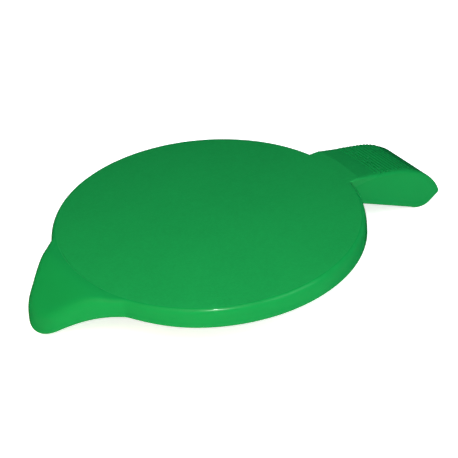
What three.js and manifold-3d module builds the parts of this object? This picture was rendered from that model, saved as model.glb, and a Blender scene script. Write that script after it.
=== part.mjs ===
// A lid-type wasp trap for an open glass or jar: a green hinged cover with a hood over the way in and
// a ribbed thumb lever, over a base tray that seats on the glass. Wasps crawl in under the hood, pass
// the gate and its one-way flap, and drop down the chute into the baited glass.
// Units are millimetres. +X points along the thumb lever, the hood points to -X, and +Z is up.
// The origin is the centre of the base tray's flat underside.
import * as THREE from "three";
import { mergeVertices } from "three/addons/utils/BufferGeometryUtils.js";
import Module from "manifold-3d";

const wasm = await Module();
wasm.setup();

// Cover: a round lid, drawn out into a hood at -X and a thumb lever at +X.
const LID_R = 50;
const ROUND_STEPS = 72; // straight steps round the lid's open arc
const RIM_BOTTOM = 2;
const RIM_HEIGHT = 6.2;
const TOP = RIM_BOTTOM + RIM_HEIGHT;
const FACE_R = 47.9; // the flat round face, up to its crisp edge
const ROOF = 1.6; // thickness of the cover's top
const CEILING = TOP - ROOF;
const RIM_WALL = 1.8;
const CORNER_INSET = 1.2; // the hollow's corner under the shoulder, in from the wall
const CORNER_DROP = 3.7; // and down from the top
const COVER_RIB_START = 14; // the stiffening ribs under the cover, from the centre out
const COVER_RIB_END = 40;
const COVER_RIB_DEPTH = 2;
const RIM_SWELL = 1.9; // how far the rim's wall bulges out below the shoulder
const RIM_POWER = 2.8; // how square that bulge is: 2 is an ellipse, and higher is squarer
const LOWEST_CUT = -30; // cuts reach down to here, below every piece

// Hood: a wedge with a round tip, joined to the rim by hollow fillets.
const HOOD_TIP_X = -64.9;
const HOOD_TIP_R = 11.5;
const HOOD_HALF_ANGLE = THREE.MathUtils.degToRad(40.5);
const HOOD_FILLET = 6;
const HOOD_STEP = 0.15; // the hood's top lies this much below the round face
const HOOD_SWELL = 3.2; // the same bulge, on the hood
const HOOD_POWER = 3.4;
const HOOD_CROWN = 1.1; // a low crown across the hood, just outside the rim
const HOOD_CROWN_X = -52.5;
const HOOD_CROWN_WIDTH = 5;
const HOOD_BEND_START = 0.937; // where the hood starts to droop, as a share of the lid's radius
const HOOD_BEND = 1.37;
const HOOD_BEND_EASE = 0.61;
const HOOD_ARCH = 0.6; // the lower edge lifts this much where the hood joins the rim
const HOOD_ARCH_WIDTH = THREE.MathUtils.degToRad(14);

// Thumb lever: an open channel with a ribbed top that curls down at its end.
const LEVER_HALF = 11.15;
const LEVER_WALL = 1.6;
const LEVER_ROOT_X = 46;
const LEVER_ROOT_LOW = 1.45; // the lever's lower edge meets the rim at this height
const LEVER_FLAT = new THREE.Vector2(52.3, 8.2); // the top is flat as far as here
const LEVER_RAMP = new THREE.Vector2(52.7, 8);
const LEVER_BEND = new THREE.Vector2(66.7, 4.7);
const LEVER_CURL_START = new THREE.Vector2(72.5, 3.33); // the two pulls of the curl's curve
const LEVER_CURL_END = new THREE.Vector2(82, -1);
const LEVER_TIP = new THREE.Vector2(84.4, -9.6);
const LEVER_TIP_PULL = new THREE.Vector2(84.4, -10.3);
const LEVER_TIP_FOOT = new THREE.Vector2(83.5, -10.7);
const LEVER_HEEL_START = new THREE.Vector2(80.9, -12.2);
const LEVER_HEEL_PULL = new THREE.Vector2(79.3, -13.35);
const LEVER_HEEL = new THREE.Vector2(77, -13.25);
const LEVER_HEEL_RISE = new THREE.Vector2(74.4, -13);
const LEVER_HEEL_END = new THREE.Vector2(72.5, -11.7);
const LEVER_NOSE = 3; // solid plastic behind the lever's tip
const LEVER_HOLLOW_STEPS = 24;
const RIB_FIRST_X = 59.5;
const RIB_PITCH = 1.4;
const RIB_COUNT = 11;
const RIB_WIDTH = 1;
const RIB_PROUD = 0.2;
const RIB_HALF = 10.2;

// Hinge under the lever's root.
const HINGE = new THREE.Vector3(55, 0, 2.4);
const HINGE_PIN_R = 1;
const HINGE_PIN_HALF = 9.2;
const HINGE_BORE_R = 1.3;
const KNUCKLE_R = 2.4;
const KNUCKLE_IN = 3.2;
const KNUCKLE_OUT = 6.6;
const EAR_IN = 6.9;
const EAR_OUT = 8.9;
const EAR_SNAP_WIDTH = 1.7;
const EAR_WEB_HALF = 1.8;
const SPRING_COIL_R = 1.9;
const SPRING_WIRE_R = 0.35;
const SPRING_TURNS = 5;
const SPRING_HALF = 2.3;
const SPRING_ARM_RISE = THREE.MathUtils.degToRad(7.8);
const SPRING_BASE_LEG = 7.8;
const SPRING_COVER_LEG = 12.6;
const SPRING_BAR_START = 1; // the bar over the spring's leg, outwards from the tray's wall
const SPRING_BAR_END = 3;
const SPRING_BAR_LOW = 1.2;

// Base tray: a shallow dish inside the cover's rim.
const TRAY_R = 46.6;
const TRAY_WALL = 1.6;
const TRAY_FLOOR = 1;
const TRAY_HEIGHT = 6.3;
const TONGUE_THICK = 2;
const SPIGOT_R = 36;
const SPIGOT_WALL = 1.6;
const SPIGOT_DEPTH = 6;
const SPIGOT_TAPER_START = -1.2; // the spigot tapers in below this height
const SPIGOT_TAPER = 0.9;
const SPIGOT_DRAFT = 0.4;
const CRUSH_RIBS = 8;
const CRUSH_RIB_PROUD = 0.7;
const CRUSH_RIB_WIDTH = 1;
const CRUSH_RIB_LOW = 0.8; // the crush ribs' ends, up from the spigot's foot
const CRUSH_RIB_HIGH = 3.8;
const SEAT_LIP_R = 44.8;
const SEAT_LIP_WALL = 1;
const SEAT_LIP_DEPTH = 0.8;
const HUB_R = 11.2;
const STIFFENER = 1.2;
const STIFFENER_DEPTH = 1.5;
const GASKET_LOW = -1.5;

// Way in: a gate in the tray's wall, a run with the flap across it, and the chute.
const GATE_HALF = 6.5;
const RUN_HALF = 7.7;
const RUN_WALL = 1.2;
const CHUTE_X = -20;
const CHUTE_HOLE_R = 6.8;
const CHUTE_FLANGE_R = 7.4;
const CHUTE_FLANGE = 0.5;
const CHUTE_TOP_R = 6.5;
const CHUTE_FOOT_R = 5.3;
const CHUTE_FOOT = -6.5;
const CHUTE_WALL = 0.7;
const FLAP = new THREE.Vector3(-37, 0, 5);
const FLAP_PIN_R = 0.5;
const FLAP_PIN_HALF = 8.6;
const FLAP_HALF = 7.3;
const FLAP_KNUCKLE_R = 1.3;
const FLAP_THICK = 0.8;
const SILL = 0.8; // the sill's width and height
const FIT = 0.3; // gap left wherever two pieces meet
const OVER = 0.2; // how far joined shapes run into each other

// ---- Shaping helpers ----

// A three.js geometry as a solid that can be joined and cut.
function solid(geometry) {
  const bare = new THREE.BufferGeometry();
  const loose = geometry.index ? geometry.toNonIndexed() : geometry;
  bare.setAttribute("position", loose.getAttribute("position"));
  const merged = mergeVertices(bare, 1e-4);
  const triVerts = new Uint32Array(merged.index.array);
  const vertProperties = merged.getAttribute("position").array;
  return new wasm.Manifold(new wasm.Mesh({ numProp: 3, vertProperties, triVerts }));
}

// A solid back as a three.js geometry.
function geometryOf(body) {
  const { vertProperties, triVerts } = body.getMesh();
  const geometry = new THREE.BufferGeometry();
  geometry.setAttribute("position", new THREE.BufferAttribute(vertProperties, 3));
  geometry.setIndex(new THREE.BufferAttribute(triVerts, 1));
  geometry.computeVertexNormals();
  return geometry;
}

function join(solids) {
  return solids.reduce((whole, next) => whole.add(next));
}

// A box from its lowest corner to its highest.
function box(x0, x1, y0, y1, z0, z1) {
  const geometry = new THREE.BoxGeometry(x1 - x0, y1 - y0, z1 - z0);
  geometry.translate((x0 + x1) / 2, (y0 + y1) / 2, (z0 + z1) / 2);
  return solid(geometry);
}

// A round bar along Y between two places, about an axis through x and z.
function barAlongY(x, z, radius, y0, y1, sides = 32) {
  const geometry = new THREE.CylinderGeometry(radius, radius, y1 - y0, sides);
  geometry.translate(x, (y0 + y1) / 2, z);
  return solid(geometry);
}

// A round bar along Z.
function barAlongZ(x, y, radius, z0, z1, sides = 48) {
  const geometry = new THREE.CylinderGeometry(radius, radius, z1 - z0, sides);
  geometry.rotateX(Math.PI / 2);
  geometry.translate(x, y, (z0 + z1) / 2);
  return solid(geometry);
}

// A ring turned about Z at x, from a closed section of [radius, height] points, anticlockwise.
function ring(section, x = 0, sides = 72) {
  const points = section.map(([r, z]) => new THREE.Vector2(r, z));
  points.push(points[0].clone());
  const geometry = new THREE.LatheGeometry(points, sides);
  geometry.rotateX(Math.PI / 2);
  geometry.translate(x, 0, 0);
  return solid(geometry);
}

// A square ring section.
function squareRing(inner, outer, z0, z1) {
  return ring([[inner, z0], [outer, z0], [outer, z1], [inner, z1]]);
}

// A side view in x and z, as thick as width across y.
function sideView(shape, width) {
  const geometry = new THREE.ExtrudeGeometry(shape, {
    depth: width,
    bevelEnabled: false,
    curveSegments: 10,
  });
  geometry.rotateX(Math.PI / 2);
  geometry.translate(0, width / 2, 0);
  return solid(geometry);
}

// A plan view in x and y, from one height up to another.
function planView(shape, z0, z1) {
  const geometry = new THREE.ExtrudeGeometry(shape, {
    depth: z1 - z0,
    bevelEnabled: false,
    curveSegments: 12,
  });
  geometry.translate(0, 0, z0);
  return solid(geometry);
}

// A solid skinned over rings of equal point counts, listed from the top down, with a point at each end.
function skinned(topPoint, rings, bottomPoint) {
  const positions = [];
  const face = (a, b, c) => positions.push(...a.toArray(), ...b.toArray(), ...c.toArray());
  const count = rings[0].length;
  for (let i = 0; i < count; i++) {
    const j = (i + 1) % count;
    face(topPoint, rings[0][i], rings[0][j]);
    for (let k = 0; k + 1 < rings.length; k++) {
      face(rings[k][i], rings[k + 1][i], rings[k + 1][j]);
      face(rings[k][i], rings[k + 1][j], rings[k][j]);
    }
    const last = rings[rings.length - 1];
    face(bottomPoint, last[j], last[i]);
  }
  const geometry = new THREE.BufferGeometry();
  geometry.setAttribute("position", new THREE.Float32BufferAttribute(positions, 3));
  return solid(geometry);
}

// ---- Cover ----

// Outline points along an arc, each with its outward normal; a hollow arc has its centre outside.
function arcOutline(centre, radius, from, to, steps, hollow = false) {
  const points = [];
  for (let i = 0; i < steps; i++) {
    const angle = from + ((to - from) * i) / steps;
    const direction = new THREE.Vector2(Math.cos(angle), Math.sin(angle));
    const place = centre.clone().addScaledVector(direction, radius);
    points.push({ place, normal: hollow ? direction.negate() : direction });
  }
  return points;
}

function lineOutline(from, to, normal, steps) {
  const points = [];
  for (let i = 0; i < steps; i++) {
    points.push({ place: from.clone().lerp(to, i / steps), normal: normal.clone() });
  }
  return points;
}

// The cover's outline without the lever, anticlockwise from above.
function coverOutline() {
  const flip = (v) => new THREE.Vector2(v.x, -v.y);
  const tip = new THREE.Vector2(HOOD_TIP_X + HOOD_TIP_R, 0);
  const along = new THREE.Vector2(Math.cos(HOOD_HALF_ANGLE), Math.sin(HOOD_HALF_ANGLE));
  const out = new THREE.Vector2(-along.y, along.x);
  const reach = out.dot(tip) + HOOD_TIP_R + HOOD_FILLET;
  const slide = -Math.sqrt((LID_R + HOOD_FILLET) ** 2 - reach ** 2);
  const fillet = out.clone().multiplyScalar(reach).addScaledVector(along, slide);
  const root = fillet.angle();
  const flankStart = fillet.clone().addScaledVector(out, -HOOD_FILLET);
  const flankEnd = tip.clone().addScaledVector(out, HOOD_TIP_R);
  const outAngle = out.angle();
  return [
    ...arcOutline(new THREE.Vector2(), LID_R, -root, root, ROUND_STEPS),
    ...arcOutline(fillet, HOOD_FILLET, root - Math.PI, outAngle - Math.PI, 4, true),
    ...lineOutline(flankStart, flankEnd, out, 6),
    ...arcOutline(tip, HOOD_TIP_R, outAngle, 2 * Math.PI - outAngle, 10),
    ...lineOutline(flip(flankEnd), flip(flankStart), flip(out), 6),
    ...arcOutline(flip(fillet), HOOD_FILLET, Math.PI - outAngle, Math.PI - root, 4, true),
  ];
}

// How far the hood has drooped at x.
function hoodDroop(x) {
  const past = Math.max(0, -x / LID_R - HOOD_BEND_START);
  return (LID_R * HOOD_BEND * past ** 2) / (1 + (past / HOOD_BEND_EASE) ** 4);
}

// How far the lower edge is lifted at a place, most where the hood's fillets meet the rim at root.
function hoodArch(place, root) {
  const off = Math.abs(Math.atan2(place.y, place.x)) - root;
  return HOOD_ARCH * Math.exp(-((off / HOOD_ARCH_WIDTH) ** 2));
}

// 0 on the round rim, rising to 1 out on the hood.
function hoodShare(point) {
  return THREE.MathUtils.smoothstep(point.place.length(), LID_R, LID_R + 4);
}

function inset(point, distance, height) {
  const place = point.place.clone().addScaledVector(point.normal, -distance);
  return new THREE.Vector3(place.x, place.y, height(place));
}

// The top of the cover, thickness below its outer skin, at a place on the point's side.
function skinHeight(point, place, thickness = 0) {
  const crown = HOOD_CROWN * Math.exp(-(((place.x - HOOD_CROWN_X) / HOOD_CROWN_WIDTH) ** 2));
  return TOP - thickness - hoodDroop(place.x) + (crown - HOOD_STEP) * hoodShare(point);
}

function circleRing(outline, radius, height) {
  return outline.map((point) => {
    const place = point.place.clone().setLength(radius);
    return new THREE.Vector3(place.x, place.y, height(point, place));
  });
}

// Rings between two rings, following the cover's skin.
function ringsBetween(outline, inner, outer, shares, thickness) {
  return shares.map((share) =>
    outline.map((point, i) => {
      const place = inner[i].clone().lerp(outer[i], share);
      return place.setZ(skinHeight(point, place, thickness));
    }),
  );
}

// A place on the wall's bulge, across and up as shares of its width and height, where the surface
// has turned by an angle from level. The bulge is a superellipse of the given power.
function bulge(turn, slimness, power) {
  if (turn >= Math.PI / 2) return [1, 0];
  const lean = (Math.tan(turn) * slimness) ** (1 / (power - 1));
  const up = (1 + lean ** power) ** (-1 / power);
  return [lean * up, up];
}

// The lid and hood as one solid block, up to the outer skin.
function coverBlock(outline) {
  const swell = (point) => THREE.MathUtils.lerp(RIM_SWELL, HOOD_SWELL, hoodShare(point));
  const root = outline[ROUND_STEPS].place.angle();
  const low = (place) => RIM_BOTTOM - hoodDroop(place.x) + hoodArch(place, root);
  const face = circleRing(outline, FACE_R, () => TOP);
  const edge = circleRing(outline, FACE_R + HOOD_STEP, (point, place) => skinHeight(point, place));
  const shoulder = outline.map((p) => inset(p, swell(p), (place) => skinHeight(p, place)));
  const walls = [3, 15, 36, 60, 80, 90].map((degrees) =>
    outline.map((point, i) => {
      const bottom = low(point.place);
      const slimness = swell(point) / (shoulder[i].z - bottom);
      const power = THREE.MathUtils.lerp(RIM_POWER, HOOD_POWER, hoodShare(point));
      const [across, up] = bulge(THREE.MathUtils.degToRad(degrees), slimness, power);
      const height = (place) => bottom + (skinHeight(point, place) - bottom) * up;
      return inset(point, swell(point) * (1 - across), height);
    }),
  );
  const footing = outline.map((p) => inset(p, RIM_WALL * 2, () => low(p.place)));
  const slope = ringsBetween(outline, edge, shoulder, [0.3, 0.65, 1], 0);
  const rings = [face, edge, ...slope, ...walls, footing];
  return skinned(new THREE.Vector3(0, 0, TOP), rings, new THREE.Vector3(0, 0, RIM_BOTTOM));
}

// The hollow under the lid and hood.
function coverHollow(outline) {
  const middle = circleRing(outline, TRAY_R - 1, () => CEILING);
  const corner = outline.map((p) => inset(p, RIM_WALL + CORNER_INSET, (place) => skinHeight(p, place, ROOF)));
  const wallTop = outline.map((p) => inset(p, RIM_WALL, () => TOP - CORNER_DROP - hoodDroop(p.place.x)));
  const wallFoot = wallTop.map((place) => place.clone().setZ(LOWEST_CUT));
  const slope = ringsBetween(outline, middle, corner, [0.3, 0.65, 1], ROOF);
  const rings = [middle, ...slope, wallTop, wallFoot];
  const bottom = new THREE.Vector3(0, 0, LOWEST_CUT);
  return skinned(new THREE.Vector3(0, 0, CEILING), rings, bottom);
}

// Draws the lever's top line, from its root to its tip.
function drawLeverTop(path) {
  path.moveTo(LEVER_ROOT_X, TOP);
  path.lineTo(LEVER_FLAT.x, LEVER_FLAT.y);
  path.lineTo(LEVER_RAMP.x, LEVER_RAMP.y);
  path.lineTo(LEVER_BEND.x, LEVER_BEND.y);
  path.bezierCurveTo(...LEVER_CURL_START, ...LEVER_CURL_END, ...LEVER_TIP);
}

// The lever as a solid block: a sharp tip, cut back to a rounded heel, and a straight lower edge.
function leverBlock() {
  const shape = new THREE.Shape();
  drawLeverTop(shape);
  shape.quadraticCurveTo(...LEVER_TIP_PULL, ...LEVER_TIP_FOOT);
  shape.lineTo(...LEVER_HEEL_START);
  shape.quadraticCurveTo(...LEVER_HEEL_PULL, ...LEVER_HEEL);
  shape.quadraticCurveTo(...LEVER_HEEL_RISE, ...LEVER_HEEL_END);
  shape.lineTo(LEVER_ROOT_X, LEVER_ROOT_LOW);
  return sideView(shape, 2 * LEVER_HALF);
}

// The channel inside the lever, which runs on into the hollow under the lid.
function leverHollow() {
  const top = new THREE.Path();
  drawLeverTop(top);
  const shape = new THREE.Shape();
  shape.moveTo(LEVER_ROOT_X - 2, LOWEST_CUT);
  shape.lineTo(LEVER_ROOT_X - 2, CEILING);
  const end = LEVER_TIP.x - LEVER_NOSE;
  for (let i = 1; i < LEVER_HOLLOW_STEPS; i++) {
    const place = top.getPointAt(i / LEVER_HOLLOW_STEPS);
    const slope = top.getTangentAt(i / LEVER_HOLLOW_STEPS);
    const under = new THREE.Vector2(place.x + slope.y * ROOF, place.y - slope.x * ROOF);
    if (under.x < end) shape.lineTo(under.x, under.y);
  }
  shape.lineTo(end, LOWEST_CUT);
  return sideView(shape, 2 * (LEVER_HALF - LEVER_WALL));
}

// One grip rib across the lever at x.
function gripRib(top, x) {
  const length = top.getLength();
  let share = (x - LEVER_ROOT_X) / length;
  for (let pass = 0; pass < 20; pass++) {
    share += (x - top.getPointAt(share).x) / length;
  }
  const place = top.getPointAt(share);
  const slope = top.getTangentAt(share);
  const geometry = new THREE.CylinderGeometry(RIB_WIDTH / 2, RIB_WIDTH / 2, 2 * RIB_HALF, 8);
  geometry.scale(1, 1, (2 * RIB_PROUD) / RIB_WIDTH);
  geometry.rotateY(-Math.atan2(slope.y, slope.x));
  geometry.translate(place.x, 0, place.y);
  return solid(geometry);
}

function gripRibs() {
  const top = new THREE.Path();
  drawLeverTop(top);
  const ribs = [];
  for (let i = 0; i < RIB_COUNT; i++) {
    ribs.push(gripRib(top, RIB_FIRST_X + i * RIB_PITCH));
  }
  return join(ribs);
}

// One ear of the cover, which snaps down over the hinge pin.
function snapEar(side) {
  const y0 = side > 0 ? EAR_IN : -EAR_OUT;
  const y1 = side > 0 ? EAR_OUT : -EAR_IN;
  const eye = barAlongY(HINGE.x, HINGE.z, KNUCKLE_R, y0, y1);
  const web = box(HINGE.x - EAR_WEB_HALF, HINGE.x + EAR_WEB_HALF, y0, y1, HINGE.z, CEILING - OVER);
  const bore = barAlongY(HINGE.x, HINGE.z, HINGE_BORE_R, y0 - 1, y1 + 1);
  const half = EAR_SNAP_WIDTH / 2;
  const below = HINGE.z - KNUCKLE_R - 1;
  const mouth = box(HINGE.x - half, HINGE.x + half, y0 - 1, y1 + 1, below, HINGE.z);
  return eye.add(web).subtract(bore).subtract(mouth);
}

// Ribs that stiffen the cover from below, clear of the run.
function coverRibs() {
  const length = COVER_RIB_END - COVER_RIB_START;
  return join(
    [-120, -60, 0, 60, 120].map((degrees) => {
      const geometry = new THREE.BoxGeometry(length, STIFFENER, COVER_RIB_DEPTH + OVER);
      geometry.translate(COVER_RIB_START + length / 2, 0, CEILING + (OVER - COVER_RIB_DEPTH) / 2);
      geometry.rotateZ(THREE.MathUtils.degToRad(degrees));
      return solid(geometry);
    }),
  );
}

function coverShell() {
  const outline = coverOutline();
  const block = coverBlock(outline).add(leverBlock()).add(gripRibs());
  const hollow = coverHollow(outline).add(leverHollow());
  return block.subtract(hollow).add(coverRibs()).add(snapEar(1)).add(snapEar(-1));
}

// ---- Base tray ----

// The two walls of the run and the round end behind the chute.
function runWalls() {
  const start = -TRAY_R + TRAY_WALL / 2;
  const outer = RUN_HALF + RUN_WALL;
  const quarter = Math.PI / 2;
  const shape = new THREE.Shape();
  shape.moveTo(start, outer);
  shape.lineTo(CHUTE_X, outer);
  shape.absarc(CHUTE_X, 0, outer, quarter, -quarter, true);
  shape.lineTo(start, -outer);
  shape.lineTo(start, -RUN_HALF);
  shape.lineTo(CHUTE_X, -RUN_HALF);
  shape.absarc(CHUTE_X, 0, RUN_HALF, -quarter, quarter, false);
  shape.lineTo(start, RUN_HALF);
  const walls = planView(shape, TRAY_FLOOR - OVER, TRAY_HEIGHT);
  const notchHalf = FLAP_PIN_R + FIT;
  const reach = outer + 1;
  const notch = box(FLAP.x - notchHalf, FLAP.x + notchHalf, -reach, reach, FLAP.z - notchHalf, TOP);
  return walls.subtract(notch);
}

// The low bar across the run that the flap hangs against, so it can't swing outwards.
function flapSill() {
  const near = FLAP.x - FLAP_THICK / 2 - FIT;
  const reach = RUN_HALF + OVER;
  return box(near - SILL, near, -reach, reach, TRAY_FLOOR - OVER, TRAY_FLOOR + SILL);
}

// The tongue that carries the hinge pin, slotted for the spring, with a bar over the spring's leg.
function hingeTongue() {
  const plate = box(TRAY_R - 2, HINGE.x, -KNUCKLE_OUT, KNUCKLE_OUT, 0, TONGUE_THICK);
  const knuckle = barAlongY(HINGE.x, HINGE.z, KNUCKLE_R, -KNUCKLE_OUT, KNUCKLE_OUT);
  const slotHalf = KNUCKLE_IN;
  const slot = box(TRAY_R + 2 * OVER, HINGE.x + 2 * KNUCKLE_R, -slotHalf, slotHalf, -1, TOP);
  const barStart = TRAY_R + SPRING_BAR_START;
  const barEnd = TRAY_R + SPRING_BAR_END;
  const reach = slotHalf + OVER;
  const bar = box(barStart, barEnd, -reach, reach, SPRING_BAR_LOW, TONGUE_THICK);
  const bore = barAlongY(HINGE.x, HINGE.z, HINGE_BORE_R, -LID_R, LID_R);
  return plate.add(knuckle).subtract(slot).add(bar).subtract(bore);
}

// The ring that centres the trap in the mouth of the glass, with small ribs that take up the play.
function spigot() {
  const foot = -SPIGOT_DEPTH;
  const outer = SPIGOT_R;
  const inner = SPIGOT_R - SPIGOT_WALL;
  const skirt = ring([
    [inner, OVER],
    [inner - SPIGOT_DRAFT, foot],
    [outer - SPIGOT_TAPER, foot],
    [outer, SPIGOT_TAPER_START],
    [outer, OVER],
  ]);
  const depth = SPIGOT_TAPER + CRUSH_RIB_PROUD;
  const ribs = [];
  for (let i = 0; i < CRUSH_RIBS; i++) {
    const geometry = new THREE.BoxGeometry(depth, CRUSH_RIB_WIDTH, CRUSH_RIB_HIGH - CRUSH_RIB_LOW);
    geometry.translate(outer + CRUSH_RIB_PROUD - depth / 2, 0, foot + (CRUSH_RIB_LOW + CRUSH_RIB_HIGH) / 2);
    geometry.rotateZ(((i + 0.5) * 2 * Math.PI) / CRUSH_RIBS);
    ribs.push(solid(geometry));
  }
  return skirt.add(join(ribs));
}

// The hub and radial ribs that stiffen the tray's floor from below.
function floorStiffeners() {
  const hub = squareRing(HUB_R - STIFFENER, HUB_R, -STIFFENER_DEPTH, OVER);
  const length = SPIGOT_R - SPIGOT_WALL - HUB_R + 1;
  const ribs = [-135, -90, -45, 0, 45, 90, 135].map((degrees) => {
    const geometry = new THREE.BoxGeometry(length, STIFFENER, STIFFENER_DEPTH + OVER);
    geometry.translate(HUB_R - 0.5 + length / 2, 0, (OVER - STIFFENER_DEPTH) / 2);
    geometry.rotateZ(THREE.MathUtils.degToRad(degrees));
    return solid(geometry);
  });
  return hub.add(join(ribs));
}

function baseTray() {
  const floor = barAlongZ(0, 0, TRAY_R, 0, TRAY_FLOOR, 72);
  const wallInner = TRAY_R - TRAY_WALL;
  const wall = squareRing(wallInner, TRAY_R, TRAY_FLOOR - OVER, TRAY_HEIGHT);
  const gate = box(-TRAY_R - 1, -wallInner + 2 * OVER, -GATE_HALF, GATE_HALF, TRAY_FLOOR, TOP);
  const hole = barAlongZ(CHUTE_X, 0, CHUTE_HOLE_R, -1, TRAY_FLOOR + 1);
  const seatLip = squareRing(SEAT_LIP_R - SEAT_LIP_WALL, SEAT_LIP_R, -SEAT_LIP_DEPTH, OVER);
  const dish = floor.add(wall).add(runWalls()).subtract(gate).add(flapSill()).add(hingeTongue());
  return dish.add(seatLip).add(spigot()).add(floorStiffeners()).subtract(hole);
}

// ---- Small pieces ----

function jarGasket() {
  return squareRing(SPIGOT_R + FIT, SEAT_LIP_R - SEAT_LIP_WALL - FIT, GASKET_LOW, -FIT);
}

function hingePin() {
  return barAlongY(HINGE.x, HINGE.z, HINGE_PIN_R, -HINGE_PIN_HALF, HINGE_PIN_HALF, 24);
}

// The wire's centre line: a leg under the tongue's bar, the coil on the pin, a leg under the lever.
class SpringWire extends THREE.Curve {
  getPoint(share, target = new THREE.Vector3()) {
    const turnLength = 2 * Math.PI * SPRING_COIL_R;
    const coilLength = turnLength * SPRING_TURNS + SPRING_COIL_R * SPRING_ARM_RISE;
    const travelled = share * (SPRING_BASE_LEG + coilLength + SPRING_COVER_LEG);
    const wound = THREE.MathUtils.clamp(travelled - SPRING_BASE_LEG, 0, coilLength);
    const before = Math.min(0, travelled - SPRING_BASE_LEG);
    const after = Math.max(0, travelled - SPRING_BASE_LEG - coilLength);
    const turn = wound / SPRING_COIL_R - Math.PI / 2;
    const straight = before + after;
    return target.set(
      HINGE.x + SPRING_COIL_R * Math.cos(turn) - straight * Math.sin(turn),
      -SPRING_HALF + 2 * SPRING_HALF * (wound / coilLength),
      HINGE.z + SPRING_COIL_R * Math.sin(turn) + straight * Math.cos(turn),
    );
  }
}

function torsionSpring() {
  const section = new THREE.Shape();
  section.absarc(0, 0, SPRING_WIRE_R, 0, 2 * Math.PI);
  return solid(
    new THREE.ExtrudeGeometry(section, {
      steps: 120,
      curveSegments: 3,
      bevelEnabled: false,
      extrudePath: new SpringWire(),
    }),
  );
}

// The tapered tube that wasps drop through, hung by its flange in the tray's hole.
function entryChute() {
  const under = TRAY_FLOOR + FIT;
  const lip = under + CHUTE_FLANGE;
  const section = [
    [CHUTE_TOP_R - CHUTE_WALL, lip],
    [CHUTE_FOOT_R - CHUTE_WALL, CHUTE_FOOT],
    [CHUTE_FOOT_R, CHUTE_FOOT],
    [CHUTE_TOP_R, under],
    [CHUTE_FLANGE_R, under],
    [CHUTE_FLANGE_R, lip],
  ];
  return ring(section, CHUTE_X, 48);
}

function entryFlap() {
  const half = FLAP_THICK / 2;
  const sheet = box(FLAP.x - half, FLAP.x + half, -FLAP_HALF, FLAP_HALF, TRAY_FLOOR + FIT, FLAP.z);
  const knuckle = barAlongY(FLAP.x, FLAP.z, FLAP_KNUCKLE_R, -FLAP_HALF, FLAP_HALF, 24);
  const bore = barAlongY(FLAP.x, FLAP.z, FLAP_PIN_R + FIT, -FLAP_HALF - 1, FLAP_HALF + 1, 24);
  return sheet.add(knuckle).subtract(bore);
}

function flapPin() {
  return barAlongY(FLAP.x, FLAP.z, FLAP_PIN_R, -FLAP_PIN_HALF, FLAP_PIN_HALF, 16);
}

// ---- Assembly ----

const green = { color: 0x1a8f4b, roughness: 0.45, metalness: 0 };
const clear = { color: 0xd8e4dc, roughness: 0.25, metalness: 0 };
const steel = { color: 0xb9bcc0, roughness: 0.3, metalness: 1 };
const rubber = { color: 0x2b2d2c, roughness: 0.8, metalness: 0 };

const group = new THREE.Group();

function addPiece(name, body, look) {
  const mesh = new THREE.Mesh(geometryOf(body), new THREE.MeshStandardMaterial(look));
  mesh.name = name;
  group.add(mesh);
}

addPiece("cover_shell", coverShell(), green);
addPiece("base_tray", baseTray(), green);
addPiece("jar_gasket", jarGasket(), rubber);
addPiece("hinge_pin", hingePin(), steel);
addPiece("torsion_spring", torsionSpring(), steel);
addPiece("entry_chute", entryChute(), clear);
addPiece("entry_flap", entryFlap(), clear);
addPiece("flap_pin", flapPin(), steel);

export default group;
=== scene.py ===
import math

import bmesh
import bpy
from mathutils import Matrix, Vector


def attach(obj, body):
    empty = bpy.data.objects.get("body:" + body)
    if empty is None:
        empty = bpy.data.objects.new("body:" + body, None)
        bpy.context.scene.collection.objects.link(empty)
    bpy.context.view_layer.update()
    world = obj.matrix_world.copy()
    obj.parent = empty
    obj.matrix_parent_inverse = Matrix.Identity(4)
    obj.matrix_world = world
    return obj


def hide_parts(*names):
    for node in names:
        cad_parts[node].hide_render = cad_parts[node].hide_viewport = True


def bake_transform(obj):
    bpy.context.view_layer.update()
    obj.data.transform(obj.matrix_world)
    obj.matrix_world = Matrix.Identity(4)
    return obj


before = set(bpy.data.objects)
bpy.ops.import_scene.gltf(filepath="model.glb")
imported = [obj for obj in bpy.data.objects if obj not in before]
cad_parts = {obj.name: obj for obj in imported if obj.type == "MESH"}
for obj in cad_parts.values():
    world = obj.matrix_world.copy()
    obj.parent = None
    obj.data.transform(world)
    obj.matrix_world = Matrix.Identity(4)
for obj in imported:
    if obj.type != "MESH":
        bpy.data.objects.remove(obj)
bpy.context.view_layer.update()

# Shapes are drawn in millimetres, in the same frame as the CAD model, and scaled to metres at the end.
MM = 0.001

# Cover: the round lid.
LID_R = 50
FACE_R = 47.9  # the flat round face, up to its crisp edge
RIM_BOTTOM = 2
TOP = 8.2
ROOF = 1.6  # thickness of the cover's top
CEILING = TOP - ROOF
RIM_WALL = 1.8
RIM_SWELL = 1.9  # how far the rim's wall bulges out below the shoulder
RIM_POWER = 2.8  # how square that bulge is: 2 is an ellipse, and higher is squarer
RIM_FOOT_ROUND = 0.25
CORNER_INSET = 1.2  # the hollow's corner under the shoulder, in from the wall
CORNER_DROP = 3.7  # and down from the top
COVER_RIB_START = 14  # the stiffening ribs under the cover, from the centre out
COVER_RIB_END = 40
COVER_RIB_DEPTH = 2
LOWEST_CUT = -30  # cuts reach down to here, below every piece

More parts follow.
